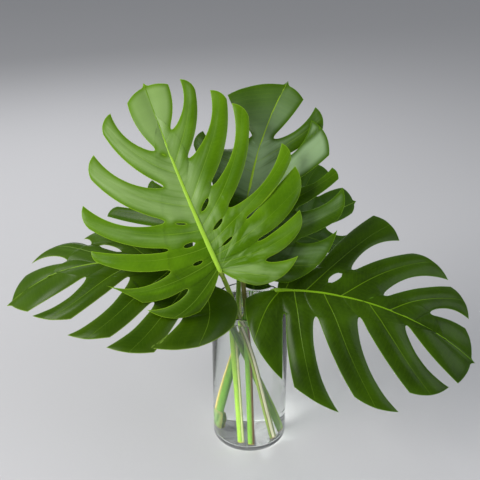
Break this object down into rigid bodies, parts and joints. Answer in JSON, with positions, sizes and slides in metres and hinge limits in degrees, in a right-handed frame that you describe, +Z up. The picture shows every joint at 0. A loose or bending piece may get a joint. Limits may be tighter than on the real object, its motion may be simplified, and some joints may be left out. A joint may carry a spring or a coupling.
{
  "type": "bunch of monstera leaves in a glass vase",
  "caption": "cut monstera leaves with deep lobes and long stalks standing in water in a clear glass cylinder vase",
  "frame": {"origin": "centre of the vase's base, on the face it stands on", "axes": "+Z up along the vase's axis, -Y the front that the lightest leaf hangs over, +X to the right of someone who looks at the front"},
  "size_m": [0.58, 0.2859, 0.4792],
  "materials": {
    "clear_glass": "clear gloss",
    "water": "clear gloss",
    "leaf_front_green": "satin",
    "leaf_back_green": "satin",
    "leaf_right_green": "satin",
    "leaf_left_green": "satin",
    "leaf_rear_green": "satin"
  },
  "bodies": {
    "root": {"vase": "clear_glass", "water": "water", "leaf_front": "leaf_front_green", "leaf_back": "leaf_back_green", "leaf_right": "leaf_right_green", "leaf_left": "leaf_left_green", "leaf_rear": "leaf_rear_green"}
  },
  "joints": []
}
